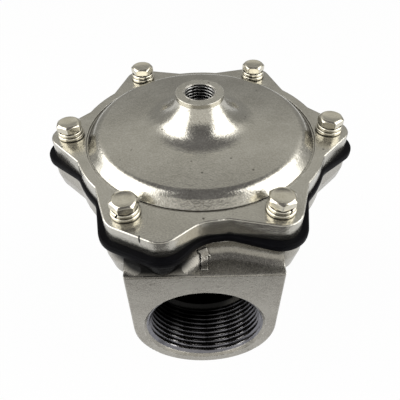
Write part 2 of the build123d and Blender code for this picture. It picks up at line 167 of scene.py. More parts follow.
def vector_maths(tree, operation, *values):
    """The result of one sum on vectors, which is a number for lengths and dot products."""
    made = add_node(tree, "ShaderNodeVectorMath", dict(enumerate(values)), operation=operation)
    return made.outputs["Value" if operation in ("DISTANCE", "DOT_PRODUCT", "LENGTH") else "Vector"]


def product(tree, *factors):
    """The product of sockets."""
    result = factors[0]
    for factor in factors[1:]:
        result = maths(tree, "MULTIPLY", result, factor)
    return result


def soft_step(tree, value, low, high):
    """0 below the first limit and 1 past the second, which may be the lower one."""
    limits = {"Value": value, "From Min": low, "From Max": high}
    step = add_node(tree, "ShaderNodeMapRange", limits, interpolation_type="SMOOTHSTEP")
    return step.outputs["Result"]


def new_group(name, inputs, outputs):
    """An empty shader group, from the usual values of its inputs and the types of its outputs."""
    group = bpy.data.node_groups.new(name, "ShaderNodeTree")
    for label, value in inputs.items():
        kind = socket_kinds[type(value)]
        socket = group.interface.new_socket(name=label, in_out="INPUT", socket_type=kind)
        socket.default_value = value
    for label, kind in outputs.items():
        group.interface.new_socket(name=label, in_out="OUTPUT", socket_type=socket_kinds[kind])
    start = add_node(group, "NodeGroupInput")
    end = add_node(group, "NodeGroupOutput")
    return group, start, end


def use_group(tree, group, inputs):
    """Places a shader group in a material with its own values."""
    made = add_node(tree, "ShaderNodeGroup")
    made.node_tree = group
    fill_inputs(tree, made, inputs)
    return made


def new_material(name, base, metallic, roughness):
    """A material with its Principled shader; returns the tree and the shader too."""
    material = bpy.data.materials.new(name)
    material.use_nodes = True
    tree = material.node_tree
    shader = tree.nodes["Principled BSDF"]
    colour = (*base, 1.0)
    material.diffuse_color = colour
    fill_inputs(tree, shader, {"Base Color": colour, "Metallic": metallic, "Roughness": roughness})
    return material, tree, shader


# %% [markdown]
# Surface grain
#
# Cast and tumbled metal is never smooth. It has a fine speckle, a coarser peel
# that gives every highlight a ragged edge, a cloudy change of tone a few
# millimetres across, and a few small pits. It could be painted on an image, but
# noise needs no image and covers every side. The group gives a height for the
# bump, a tone mask, a mask for the pits and a ragged one for the edges, so each
# metal here can use it with its own grain size.

# %% Grain group
tone_limits = (0.35, 0.65)
ragged_limits = (0.42, 0.58)
pit_edge = (0.16, 0.06)
pit_chance = (0.80, 0.95)


def make_grain_group():
    """Height, tone and pits, all from Object coordinates."""
    group, start, end = new_group("surface_grain", {
        "Grain Scale": 2200.0,
        "Peel Scale": 420.0,
        "Peel Height": 2.0,
        "Cloud Scale": 90.0,
        "Speckle": 0.5,
        "Pit Scale": 260.0,
    }, {"Height": float, "Cloud": float, "Pit": float, "Ragged": float})
    place = add_node(group, "ShaderNodeTexCoord").outputs["Object"]

    def noise(scale, detail, roughness):
        """Noise at the scale that an input of the group names."""
        return add_node(group, "ShaderNodeTexNoise", {
            "Vector": place, "Scale": start.outputs[scale], "Detail": detail, "Roughness": roughness,
        }).outputs["Fac"]

    fine = noise("Grain Scale", 2.0, 0.6)
    peel = noise("Peel Scale", 1.0, 0.5)
    cloud = noise("Cloud Scale", 5.0, 0.6)
    cells = add_node(group, "ShaderNodeTexVoronoi", {
        "Vector": place, "Scale": start.outputs["Pit Scale"],
    })
    height = maths(group, "MULTIPLY_ADD", peel, start.outputs["Peel Height"], fine)
    join(group, height, end.inputs["Height"])
    tone = add_node(group, "ShaderNodeMix", {
        "Factor": start.outputs["Speckle"],
        "A": soft_step(group, cloud, *tone_limits),
        "B": soft_step(group, fine, *tone_limits),
    }, data_type="FLOAT")
    join(group, tone.outputs["Result"], end.inputs["Cloud"])
    chance = add_node(group, "ShaderNodeSeparateXYZ", {"Vector": cells.outputs["Color"]})
    pit = product(
        group,
        soft_step(group, cells.outputs["Distance"], *pit_edge),
        soft_step(group, chance.outputs["X"], *pit_chance),
    )
    join(group, pit, end.inputs["Pit"])
    join(group, soft_step(group, peel, *ragged_limits), end.inputs["Ragged"])
    return group


grain_group = make_grain_group()
print("nodes in the grain group:", len(grain_group.nodes))

# %% [markdown]
# Worn edges
#
# Tumbling and handling round every sharp edge and polish it. The Bevel node
# gives the rounded normal. Where the polish goes is a different question: only
# outer edges are rubbed bright, and inner corners stay dull. Ambient occlusion
# that looks into the solid tells them apart, because near an outer edge its
# short rays leave the metal on the other side.

# %% Edge group
def make_edge_group():
    """Rounded normal and a mask for outer edges."""
    group, start, end = new_group("worn_edge", {"Radius": 0.0004}, {"Edge": float, "Normal": tuple})
    radius = start.outputs["Radius"]
    rounded = add_node(group, "ShaderNodeBevel", {"Radius": radius}, samples=4)
    inside = add_node(
        group, "ShaderNodeAmbientOcclusion", {"Distance": radius},
        samples=6, inside=True, only_local=True,
    )
    mask = add_node(group, "ShaderNodeMapRange", {
        "Value": inside.outputs["AO"], "From Min": 0.92, "From Max": 0.6,
    })
    join(group, mask.outputs["Result"], end.inputs["Edge"])
    join(group, rounded.outputs["Normal"], end.inputs["Normal"])
    return group


edge_group = make_edge_group()

# %% [markdown]
# Painted shade in hollows and corners
#
# Deep inside the ports the colour of the casting is painted nearly black, as
# painted shade. In each corner and groove a finer darkening is painted, partly
# grime and partly painted shade. Ambient occlusion that looks outwards finds
# both: a long reach finds the ports and a short one the corners, so one group
# serves twice.

# %% Hollow group
def make_hollow_group():
    """A mask for painted shade on surfaces that have metal all round them within a reach."""
    usual = {"Reach": 0.035, "Open": 0.42, "Closed": 0.10}
    group, start, end = new_group("painted_hollow_shade", usual, {"Hollow": float})
    reach = {"Distance": start.outputs["Reach"]}
    open_sky = add_node(group, "ShaderNodeAmbientOcclusion", reach, samples=8)
    hollow_shade = soft_step(group, open_sky.outputs["AO"], start.outputs["Open"], start.outputs["Closed"])
    join(group, hollow_shade, end.inputs["Hollow"])
    return group


hollow_shade_group = make_hollow_group()

# %% [markdown]
# Painted shade in the ports
#
# The ports are painted black a few turns in, as painted shade, sooner on the side
# that the light doesn't reach. Occlusion alone can't tell, because the step
# behind the thread faces straight out, so this mask measures how deep a point
# lies in its port. It ends before the far wall, so the outside of the casting
# keeps its own colour. The direction in which it darkens may lean, which makes
# one side darken first.

# %% Port group
def make_port_group():
    """A mask that grows with the depth in a round port, up to its far end."""
    group, start, end = new_group("painted_port_shade", {
        "Mouth": (0.0, 0.0, 0.0),
        "Inward": (0.0, 1.0, 0.0),
        "Darkening": (0.0, 1.0, 0.0),
        "Radius": 0.0245,
        "Clear Depth": 0.006,
        "Black Depth": 0.020,
        "Far Depth": 0.090,
    }, {"Port Shade": float})
    place = add_node(group, "ShaderNodeTexCoord").outputs["Object"]
    offset = vector_maths(group, "SUBTRACT", place, start.outputs["Mouth"])
    along = vector_maths(group, "PROJECT", offset, start.outputs["Inward"])
    across = vector_maths(group, "DISTANCE", offset, along)
    depth = vector_maths(group, "DOT_PRODUCT", offset, start.outputs["Inward"])
    leaning_depth = vector_maths(group, "DOT_PRODUCT", offset, start.outputs["Darkening"])
    mask = product(
        group,
        maths(group, "LESS_THAN", across, start.outputs["Radius"]),
        maths(group, "LESS_THAN", depth, start.outputs["Far Depth"]),
        soft_step(group, leaning_depth, start.outputs["Clear Depth"], start.outputs["Black Depth"]),
    )
    join(group, mask, end.inputs["Port Shade"])
    return group


def port_mouth(mount):
    """The middle of a port's open end."""
    half_length = mount["dims"]["length_mm"] * millimetre / 2
    return Vector(mount["pos_m"]) + Vector(mount["axis"]) * half_length


port_group = make_port_group()
# Painted shade in the ports; the inlet's darkening leans so that its left side, which the left box
# doesn't light, darkens first.
inlet_shade = {
    "Mouth": port_mouth(mounts["inlet_port"]),
    "Inward": (0.0, 1.0, 0.0),
    "Darkening": (-0.34, 0.94, 0.0),
}
outlet_shade = {
    "Mouth": port_mouth(mounts["outlet_port"]),
    "Inward": (0.0, 0.0, 1.0),
    "Darkening": (0.0, 0.0, 1.0),
}
print("the inlet's mouth is at", [round(value, 4) for value in inlet_shade["Mouth"]])

# %% [markdown]
# A nick, and painted shade under the nose
#
# One knock has left a small notch in the cover's front edge. A mark at one place
# needs no noise: the mask is a stretched ball round its point. The same mask,
# made larger, paints a shadow onto the body under the rubber of the nose.

# %% Nick group
def make_nick_group():
    """A mask for one small mark at a place."""
    usual = {"Place": (0.0, 0.0, 0.0), "Size": (1.0, 1.0, 1.0)}
    group, start, end = new_group("nick", usual, {"Mark": float})
    place = add_node(group, "ShaderNodeTexCoord").outputs["Object"]
    offset = vector_maths(group, "SUBTRACT", place, start.outputs["Place"])
    stretched = vector_maths(group, "DIVIDE", offset, start.outputs["Size"])
    away = vector_maths(group, "LENGTH", stretched)
    join(group, soft_step(group, away, 1.0, 0.5), end.inputs["Mark"])
    return group


nick_group = make_nick_group()
edge_nick = {"Place": (-0.0219, -0.0594, 0.1050), "Size": (0.0005, 0.0012, 0.0022)}
# Painted shadow on the body under the rubber of the nose.
nose_shadow = {"Place": (-0.0185, -0.0600, 0.0935), "Size": (0.0230, 0.0110, 0.0060)}

# %% [markdown]
# The metals
#
# All the metal pieces are made by one function with different values: the body
# is the plain casting, the cover is the same alloy after tumbling, the screws
# are bright stainless steel and the inner plates are plated steel. Each mixes a
# dark and a light tone by the cloud mask, adds pits, brightens the edges, darkens
# its corners, partly as grime and partly as painted shade, paints shade into its
# hollows, and changes its roughness a little over the surface. A casting keeps a
# small share that isn't metallic, because its fine roughness scatters light as
# chalk does.

# %% Metal function
def mixed_colour(tree, fac, first, second):
    """A colour mix whose ends are either plain colours or sockets."""
    mix = add_node(tree, "ShaderNodeMix", {"Factor": fac}, data_type="RGBA")
    for end, value in (("A", first), ("B", second)):
        socket = next(s for s in mix.inputs if s.name == end and s.type == "RGBA")
        if isinstance(value, tuple):
            socket.default_value = (*value, 1.0)
        else:
            join(tree, value, socket)
    return next(s for s in mix.outputs if s.type == "RGBA")


def add_relief(tree, shader, surface, roughness, bump, normal=None):
    """Lets the grain change a shader's roughness between two values, and bump its normal."""
    rough = add_node(tree, "ShaderNodeMapRange", {
        "Value": surface.outputs["Cloud"], "To Min": roughness[0], "To Max": roughness[1],
    })
    join(tree, rough.outputs["Result"], shader.inputs["Roughness"])
    relief = add_node(tree, "ShaderNodeBump", {
        "Strength": 1.0, "Distance": bump, "Height": surface.outputs["Height"],
    })
    if normal is not None:
        join(tree, normal, relief.inputs["Normal"])
    join(tree, relief.outputs["Normal"], shader.inputs["Normal"])


# Painted colours: a brown for the corners, partly grime and partly painted shade, and near black for
# painted shade in hollows, ports and under the rubber, and for the nick.
grime_and_corner_shade = (0.13, 0.115, 0.085)
shade_and_nick_black = (0.004, 0.004, 0.004)


def make_metal(
    name, tones, pit, roughness, bump, edge_radius, edge_tones, grain, metallic=1.0, shade=(),
):
    """A metal from pairs of tones and the grain's values; shade lists more masks painted near black,
    as painted shade and for the nick.
    """
    material, tree, shader = new_material(name, tones[1], metallic, roughness[0])
    surface = use_group(tree, grain_group, grain)
    edge = use_group(tree, edge_group, {"Radius": edge_radius})
    # Painted shade in the colour: corners darken, partly as grime, and hollows turn near black.
    corner = use_group(tree, hollow_shade_group, {"Reach": 0.003, "Open": 0.72, "Closed": 0.30})
    hollow_shade = use_group(tree, hollow_shade_group, {})
    worn = mixed_colour(tree, surface.outputs["Ragged"], *edge_tones)
    tone = mixed_colour(tree, surface.outputs["Cloud"], *tones)
    tone = mixed_colour(tree, surface.outputs["Pit"], tone, pit)
    tone = mixed_colour(tree, edge.outputs["Edge"], tone, worn)
    tone = mixed_colour(tree, corner.outputs["Hollow"], tone, grime_and_corner_shade)
    tone = mixed_colour(tree, hollow_shade.outputs["Hollow"], tone, shade_and_nick_black)
    # More painted shade, and the cover's nick, in near black.
    for group, inputs in shade:
        mask = use_group(tree, group, inputs)
        tone = mixed_colour(tree, mask.outputs[0], tone, shade_and_nick_black)
    join(tree, tone, shader.inputs["Base Color"])
    add_relief(tree, shader, surface, roughness, bump, edge.outputs["Normal"])
    return material


# %% Make the metals
cover_metal = make_metal(
    "tumbled_aluminium",
    tones=((0.40, 0.385, 0.34), (0.54, 0.525, 0.475)), pit=(0.15, 0.14, 0.12),
    roughness=(0.15, 0.24), bump=0.00005,
    edge_radius=0.0005, edge_tones=((0.52, 0.50, 0.45), (0.80, 0.78, 0.73)),
    grain={"Grain Scale": 1500.0, "Peel Height": 1.0, "Cloud Scale": 70.0, "Speckle": 0.55},
    metallic=0.96, shade=((nick_group, edge_nick),),
)
body_metal = make_metal(
    "cast_aluminium",
    tones=((0.28, 0.265, 0.235), (0.40, 0.385, 0.345)), pit=(0.09, 0.08, 0.065),
    roughness=(0.22, 0.34), bump=0.00005,
    edge_radius=0.0005, edge_tones=((0.14, 0.13, 0.11), (0.85, 0.83, 0.77)),
    grain={"Grain Scale": 1300.0, "Peel Height": 1.0, "Cloud Scale": 80.0, "Speckle": 0.5},
    metallic=0.85, shade=(
        # Painted shade: the body darkens under the rubber rim, under the nose and deep in the ports.
        (hollow_shade_group, {"Reach": 0.009, "Open": 0.80, "Closed": 0.40}),
        (nick_group, nose_shadow),
        (port_group, inlet_shade),
        (port_group, outlet_shade),
    ),
)
bolt_metal = make_metal(
    "bright_stainless",
    tones=((0.56, 0.53, 0.44), (0.70, 0.67, 0.58)), pit=(0.30, 0.27, 0.21),
    roughness=(0.12, 0.20), bump=0.00002,
    edge_radius=0.0002, edge_tones=((0.70, 0.67, 0.58), (0.88, 0.86, 0.80)),
    grain={
        "Grain Scale": 2600.0, "Peel Height": 1.0, "Cloud Scale": 300.0,
        "Speckle": 0.5, "Pit Scale": 700.0,
    },
)
thread_grain = {"Grain Scale": 3000.0, "Peel Height": 0.5, "Cloud Scale": 200.0, "Speckle": 0.2}
# Its tones are darker than the pilot thread's: painted shade inside the deep ports.
shaded_thread_metal = make_metal(
    "shaded_cut_thread",
    tones=((0.16, 0.16, 0.18), (0.22, 0.22, 0.24)), pit=(0.05, 0.05, 0.055),
    roughness=(0.22, 0.30), bump=0.000004,
    edge_radius=0.00012, edge_tones=((0.40, 0.40, 0.42), (0.60, 0.60, 0.62)),
    grain=thread_grain, shade=((port_group, inlet_shade), (port_group, outlet_shade)),
)
pilot_metal = make_metal(
    "clean_thread",
    tones=((0.26, 0.26, 0.26), (0.34, 0.34, 0.33)), pit=(0.10, 0.10, 0.10),
    roughness=(0.20, 0.28), bump=0.000004,
    edge_radius=0.00012, edge_tones=((0.50, 0.50, 0.50), (0.70, 0.70, 0.68)),
    grain=thread_grain,
)
plated_metal = make_metal(
    "plated_steel",
    tones=((0.46, 0.46, 0.43), (0.58, 0.58, 0.54)), pit=(0.28, 0.27, 0.23),
    roughness=(0.20, 0.30), bump=0.00002,
    edge_radius=0.0003, edge_tones=((0.60, 0.60, 0.56), (0.78, 0.78, 0.74)),
    grain={"Grain Scale": 2200.0, "Peel Height": 1.0, "Cloud Scale": 150.0},
)
spring_metal = make_metal(
    "drawn_wire",
    tones=((0.22, 0.22, 0.23), (0.30, 0.30, 0.31)), pit=(0.12, 0.11, 0.10),
    roughness=(0.25, 0.38), bump=0.00001,
    edge_radius=0.0001, edge_tones=((0.35, 0.35, 0.36), (0.50, 0.50, 0.52)),
    grain={"Grain Scale": 4000.0, "Peel Height": 0.5, "Cloud Scale": 300.0},
)
print("metals:", [material.name for material in bpy.data.materials if material.node_tree])

# %% [markdown]
# The rubber
#
# Moulded rubber is nearly black with a soft sheen. The mould leaves a very fine
# matt texture, and handling leaves paler dust in patches, so the roughness
# changes more than the colour does.

# %% Rubber
rubber_tones = ((0.001, 0.001, 0.0015), (0.003, 0.003, 0.0045))
rubber, rubber_tree, rubber_shader = new_material("black_rubber", (0.002, 0.002, 0.003), 0.0, 0.5)
rubber_shader.inputs["Specular IOR Level"].default_value = 0.05
rubber_grain = use_group(rubber_tree, grain_group, {"Grain Scale": 2600.0, "Cloud Scale": 180.0})
rubber_tone = mixed_colour(rubber_tree, rubber_grain.outputs["Cloud"], *rubber_tones)
join(rubber_tree, rubber_tone, rubber_shader.inputs["Base Color"])
add_relief(rubber_tree, rubber_shader, rubber_grain, roughness=(0.42, 0.6), bump=0.00001)
print("rubber nodes:", len(rubber_tree.nodes))

# %% [markdown]
# Dressing the carried-over solids
#
# The castings and the inner plates already have their true form, so they keep
# their own meshes and only get a better material.

# %% Assign materials to the solids
dressed = {
    "valve_body": body_metal,
    "cover": cover_metal,
    "upper_plate": plated_metal,
    "lower_plate": plated_metal,
    "core_screw": plated_metal,
    "core_washer": plated_metal,
    "core_nut": plated_metal,
}
for name, material in dressed.items():
    for material_slot in nodes[name].material_slots:
        material_slot.material = material
print("dressed solids:", len(dressed))

# %% [markdown]
# Making meshes from rings
#
# Threads, screws and washers are all rows of rings: each ring is a list of
# points around an axis, and faces join each ring to the next. One helper makes
# the faces and turns the normals outwards, so each piece only has to say where
# its rings go.

# %% Mesh helpers
crease = math.radians(32)
round_steps = 72


def finish_mesh(mesh, material):
    """Gives a mesh one material and smooth shading, with its real corners sharp."""
    mesh.materials.clear()
    mesh.materials.append(material)
    mesh.shade_smooth()
    mesh.set_sharp_from_angle(angle=crease)


def link_piece(name, mesh, material):
    """A linked object for a mesh, finished in its material."""
    finish_mesh(mesh, material)
    return link_object(name, mesh)


def full_turn(steps):
    """Evenly spaced angles round a circle, without the last, which is the first again."""
    return np.linspace(0, 2 * math.pi, steps, endpoint=False)


def ring_mesh(name, rings, closed):
    """A mesh from equal rings; closed joins the last to the first, else both ends are capped."""
    count, around = len(rings), len(rings[0])
    points = np.concatenate(rings)
    faces = []
    for row in range(count if closed else count - 1):
        low, high = row * around, ((row + 1) % count) * around
        for step in range(around):
            after = (step + 1) % around
            faces.append((low + step, low + after, high + after, high + step))
    if not closed:
        faces.append(tuple(range(around))[::-1])
        faces.append(tuple(range((count - 1) * around, count * around)))
    mesh = bpy.data.meshes.new(name)
    mesh.from_pydata([tuple(point) for point in points], [], faces)
    builder = bmesh.new()
    builder.from_mesh(mesh)
    bmesh.ops.recalc_face_normals(builder, faces=builder.faces)
    builder.to_mesh(mesh)
    builder.free()
    return mesh


def ring_points(angles, radius, height):
    """Points around +Z at a radius and height, either of which may change with the angle."""
    return np.stack([
        radius * np.cos(angles), radius * np.sin(angles), height + np.zeros_like(angles),
    ], axis=1)


# %% [markdown]
# Pipe threads
#
# A pipe thread is a rounded vee that climbs one pitch in each turn. It could be
# a bump, but the crests catch the light at the mouth and the turns show their
# depth, so they are real geometry. The radius is a rule of height and angle, and
# the cutter's cone at the mouth limits it, which makes the run-in. Each liner is
# a closed sleeve that fills the last bit of the plain bore, and its open end has
# the finish of what it is cut in.

# %% Thread liners
inch = 0.0254
sleeve_gap = 0.02 * millimetre
crest_flat = 0.14
rounding = 0.35


def thread_depth(phase):
    """0 at the crest and 1 at the root of a rounded vee, for a phase in turns."""
    triangle = 1.0 - np.abs(2.0 * (phase % 1.0) - 1.0)
    flank = np.clip((triangle - crest_flat) / (1.0 - 2.0 * crest_flat), 0.0, 1.0)
    return flank * flank * (3.0 - 2.0 * flank) * rounding + flank * (1.0 - rounding)


def make_thread_liner(
    name, mount, turns_per_inch, crest_radius, run_in_radius, around, samples, finishes,
):
    """A sleeve with an internal right-hand thread; its finishes are the thread's and the end's."""
    root = mount["dims"]["r_mm"] * millimetre
    length = mount["dims"]["length_mm"] * millimetre
    pitch = inch / turns_per_inch
    inward = -Vector(mount["axis"])
    across = Vector((1, 0, 0))
    place = Matrix((across, inward.cross(across), inward)).transposed()
    angles = full_turn(around)
    heights = np.arange(sleeve_gap, length - 2 * sleeve_gap, pitch / samples)
    rings = []
    for height in heights:
        turned_phase = height / pitch - angles / (2 * math.pi)
        thread = crest_radius + (root - 2 * sleeve_gap - crest_radius) * thread_depth(turned_phase)
        depth = height - heights[0]
        shaped = np.clip(thread, run_in_radius - depth, run_in_radius + depth)
        rings.append(ring_points(angles, shaped, height))
    for height in (heights[-1], heights[0]):
        rings.append(ring_points(angles, root - sleeve_gap, height))
    placed = [ring @ np.array(place).T + np.array(port_mouth(mount)) for ring in rings]
    piece = link_piece(name, ring_mesh(name, placed, True), finishes[0])
    piece.data.materials.append(finishes[1])
    for mouth_face in piece.data.polygons[-around:]:
        mouth_face.material_index = 1
    print(name, "pitch", round(pitch / millimetre, 3), "mm, faces", len(piece.data.polygons))
    return piece


pipe_thread = {"turns_per_inch": 11, "crest_radius": 0.02242, "run_in_radius": 0.02378}
pilot_form = {"turns_per_inch": 19, "crest_radius": 0.00572, "run_in_radius": 0.00598}
inlet_thread = make_thread_liner(
    "inlet_thread", mounts["inlet_port"], **pipe_thread,
    around=192, samples=14, finishes=(shaded_thread_metal, shaded_thread_metal),
)
outlet_thread = make_thread_liner(
    "outlet_thread", mounts["outlet_port"], **pipe_thread,
    around=144, samples=10, finishes=(shaded_thread_metal, shaded_thread_metal),
)
pilot_thread = make_thread_liner(
    "pilot_thread", mounts["pilot_port"], **pilot_form,
    around=96, samples=12, finishes=(pilot_metal, cover_metal),
)

# %% [markdown]
# The cover screws
#
# A hexagon screw head is a bar with a cone turned over its corners, which
# leaves six arched edges and a round crown. The mesh follows that rule: on each
# ring the radius is the smaller of the hexagon's and the cone's. The shank
# carries a coarse thread down to its point. One screw is modelled at the origin
# and the next step repeats it.

# %% One screw
head_low, head_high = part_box("spring_washer_1")[1].z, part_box("cover_bolt_1")[1].z
shank_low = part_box("cover_bolt_1")[0].z
across_flats = 0.0094
corner_limit = 1.14
crown_radius = 0.0041
head_chamfer = 0.0008
head_dish = 0.00010
dish_share, rim_share = 0.84, 0.91
face_radius = 0.0045
face_height = 0.0005
edge_round = 0.00012
shank_radius = 0.00295
shank_pitch = 0.001
shank_root = 0.00245
plain_neck = 0.0012
point_length = 0.0006
point_radius = 0.00235
cap_radius = 0.0008


def hexagon_radius(angles):
    """Distance from the centre to a hexagon's side, with a corner at angle 0."""
    return across_flats / 2 / np.cos((angles % (math.pi / 3)) - math.pi / 6)


def make_screw_mesh():
    """Head with arched chamfers, threaded shank and a chamfered point."""
    angles = full_turn(round_steps)
    side = np.minimum(hexagon_radius(angles), across_flats / 2 * corner_limit)
    corner = across_flats / math.sqrt(3)
    slope = head_chamfer / (corner - crown_radius)
    shoulder = head_high - np.maximum(side - crown_radius, 0) * slope
    head = (
        (cap_radius, head_high - head_dish),
        (crown_radius * dish_share, head_high - head_dish),
        (crown_radius * rim_share, head_high),
        (crown_radius - edge_round, head_high),
        (crown_radius, head_high - edge_round / 3),
        (side - edge_round, shoulder + edge_round * slope - edge_round / 4),
        (side, shoulder - edge_round),
        (side, head_low + face_height + edge_round),
        (side - edge_round, head_low + face_height),
        (face_radius, head_low + face_height),
        (face_radius, head_low + edge_round / 3),
        (shank_radius, head_low),
    )
    rings = [ring_points(angles, radius, height) for radius, height in head]
    for height in np.arange(head_low - plain_neck, shank_low + point_length, -shank_pitch / 6):
        depth = thread_depth(height / shank_pitch - angles / (2 * math.pi))
        rings.append(ring_points(angles, shank_radius - (shank_radius - shank_root) * depth, height))
    rings.append(ring_points(angles, point_radius, shank_low))
    rings.append(ring_points(angles, cap_radius, shank_low))
    return ring_mesh("screw", rings, False)


screw_mesh = make_screw_mesh()
print("one screw:", len(screw_mesh.polygons), "faces")

# %% [markdown]
# Washers
#
# The split spring washer is a square wire bent round the screw and cut on a
# slant. Its rings run along the wire, not round the hole, so the cut is real.
# The plain washer under it was punched and then tumbled, which rounds its edges.

# %% One washer of each kind
washer_hole = 0.0031
split_gap = 0.0008
split_lean = math.radians(25)
wire_round = 0.00045
punch_round = 0.00035
corner_steps = 3


def rounded_corners(corners, radius, steps):
    """A closed (radius, height) outline with each right-angled corner turned by an arc."""
    outline = []
    count = len(corners)
    for index, corner in enumerate(corners):
        before, after = Vector(corners[index - 1]), Vector(corners[(index + 1) % count])
        here = Vector(corner)
        first = here + (before - here).normalized() * radius
        last = here + (after - here).normalized() * radius
        middle = first + last - here
        for step in range(steps + 1):
            swing = step / steps * math.pi / 2
            turned = (first - middle) * math.cos(swing) + (last - middle) * math.sin(swing)
            outline.append(middle + turned)
    return outline


def washer_corners(outer, low, high):
    """The corners of a washer's square section."""
    return [(outer, high), (washer_hole, high), (washer_hole, low), (outer, low)]


def make_split_washer_mesh():
    """A square wire bent to a ring, with a slanted slit."""
    low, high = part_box("flat_washer_1")[1].z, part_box("spring_washer_1")[1].z
    outer = (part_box("spring_washer_1")[1].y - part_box("spring_washer_1")[0].y) / 2
    middle = (low + high) / 2
    section = rounded_corners(washer_corners(outer, low, high), wire_round, corner_steps)
    rings = []
    for share in np.linspace(0, 1, round_steps + 1):
        ring = []
        for radius, height in section:
            lean = (height - middle) * math.tan(split_lean) / radius
            start = split_gap / 2 / radius + lean
            end = 2 * math.pi - split_gap / 2 / radius + lean
            angle = start + (end - start) * share
            ring.append((radius * math.cos(angle), radius * math.sin(angle), height))
        rings.append(np.array(ring))
    return ring_mesh("split_washer", rings, False)


def make_flat_washer_mesh():
    """A punched washer with rounded edges."""
    low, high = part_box("flat_washer_1")[0].z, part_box("flat_washer_1")[1].z
    outer = (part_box("flat_washer_1")[1].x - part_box("flat_washer_1")[0].x) / 2
    section = rounded_corners(washer_corners(outer, low, high), punch_round, corner_steps)
    rings = [ring_points(full_turn(round_steps), radius, height) for radius, height in section]
    return ring_mesh("flat_washer", rings, True)


split_mesh = make_split_washer_mesh()
washer_mesh = make_flat_washer_mesh()
print("split washer:", len(split_mesh.polygons), "faces")
print("flat washer:", len(washer_mesh.polygons), "faces")

# %% [markdown]
# Six of each, by Geometry Nodes
#
# The screws stand on a circle, so one tree places any of the three meshes. It
# makes a circle of points, puts the incoming mesh on each, and turns each copy
# by its own angle. The angles are inputs, because a fitter leaves every head
# turned differently. Realize Instances makes real faces of the copies at the end.

# %% Screw circle tree
screw_count = 6
circle_radius = (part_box("cover_bolt_1")[0].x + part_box("cover_bolt_1")[1].x) / 2


def new_shape_tree(name, inputs):
    """A Geometry Nodes tree with a mesh in and out, as a modifier wants, and number inputs."""
    tree = bpy.data.node_groups.new(name, "GeometryNodeTree")
    for way in ("INPUT", "OUTPUT"):
        tree.interface.new_socket(name="Mesh", in_out=way, socket_type="NodeSocketGeometry")
    for label in inputs:
        tree.interface.new_socket(name=label, in_out="INPUT", socket_type="NodeSocketFloat")
    start = add_node(tree, "NodeGroupInput")
    end = add_node(tree, "NodeGroupOutput")
    return tree, start, end


def realize_and_paint(tree, geometry, material, end):
    """Ends a tree with real faces of one material."""
    real = add_node(tree, "GeometryNodeRealizeInstances", {"Geometry": geometry})
    paint = add_node(tree, "GeometryNodeSetMaterial", {
        "Geometry": real.outputs["Geometry"], "Material": material,
    })
    join(tree, paint.outputs["Geometry"], end.inputs["Mesh"])


def make_circle_tree(material):
    """Copies of the incoming mesh on a circle, each with its own turn."""
    turns = [f"Turn {number}" for number in range(1, screw_count + 1)]
    tree, start, end = new_shape_tree("screw_circle_" + material.name, ["Radius", *turns])
    circle = add_node(tree, "GeometryNodeMeshCircle", {
        "Vertices": screw_count, "Radius": start.outputs["Radius"],
    })
    points = add_node(tree, "GeometryNodeMeshToPoints", {"Mesh": circle.outputs["Mesh"]})
    index = add_node(tree, "GeometryNodeInputIndex")
    choose = add_node(tree, "GeometryNodeIndexSwitch", data_type="FLOAT")
    for _ in range(screw_count - len(choose.index_switch_items)):
        choose.index_switch_items.new()
    join(tree, index.outputs["Index"], choose.inputs["Index"])
    for number, label in enumerate(turns):
        join(tree, start.outputs[label], choose.inputs[str(number)])
    turn = add_node(tree, "ShaderNodeCombineXYZ", {"Z": choose.outputs["Output"]})
    rotation = add_node(tree, "FunctionNodeEulerToRotation", {"Euler": turn.outputs["Vector"]})
    copies = add_node(tree, "GeometryNodeInstanceOnPoints", {
        "Points": points.outputs["Points"],
        "Instance": start.outputs["Mesh"],
        "Rotation": rotation.outputs["Rotation"],
    })
    realize_and_paint(tree, copies.outputs["Instances"], material, end)
    return tree


def run_tree(host, tree, values):
    """Puts a tree on an object with its inputs set, by the identifiers of their sockets."""
    modifier = host.modifiers.new(tree.name, "NODES")
    modifier.node_group = tree
    for socket in tree.interface.items_tree:
        if socket.in_out == "INPUT" and socket.name in values:
            modifier[socket.identifier] = values[socket.name]


def freeze(host, name):
    """The evaluated result of an object's modifiers as a plain mesh object."""
    bpy.context.view_layer.update()
    evaluated = host.evaluated_get(bpy.context.evaluated_depsgraph_get())
    mesh = bpy.data.meshes.new_from_object(evaluated)
    mesh.name = name
    bpy.data.objects.remove(host)
    print(name, "has", len(mesh.polygons), "faces")
    return link_object(name, mesh)


def place_on_circle(name, mesh, material, turns):
    """Six turned copies of a mesh on the screw circle, as one piece."""
    host = link_piece(name + "_host", mesh, material)
    values = {"Radius": circle_radius}
    for number, turn in enumerate(turns, start=1):
        values[f"Turn {number}"] = math.radians(turn)
    run_tree(host, make_circle_tree(material), values)
    return freeze(host, name)


# %% [markdown]
# The turn of each head is read off the picture. The split in each spring washer
# faces outwards from the valve, so those copies turn with their place on the
# circle.

# %% Place screws and washers
head_turns = (38.0, 54.0, 1.0, 34.0, 12.0, 24.0)
outward_turns = tuple(number * 360.0 / screw_count for number in range(screw_count))
cover_screws = place_on_circle("cover_screws", screw_mesh, bolt_metal, head_turns)
split_washers = place_on_circle("split_washers", split_mesh, bolt_metal, outward_turns)
flat_washers = place_on_circle("flat_washers", washer_mesh, bolt_metal, outward_turns)

# %% [markdown]
# The closing spring
#
# A cone spring is a spiral that climbs and narrows. Geometry Nodes has that
# spiral ready made, so the tree only needs the two radii, the height and the
# turns, and sweeps a round wire along it. It sits between the upper plate and
# the cover, out of sight. In the valve it shortens when the diaphragm lifts;
# here it keeps its length.

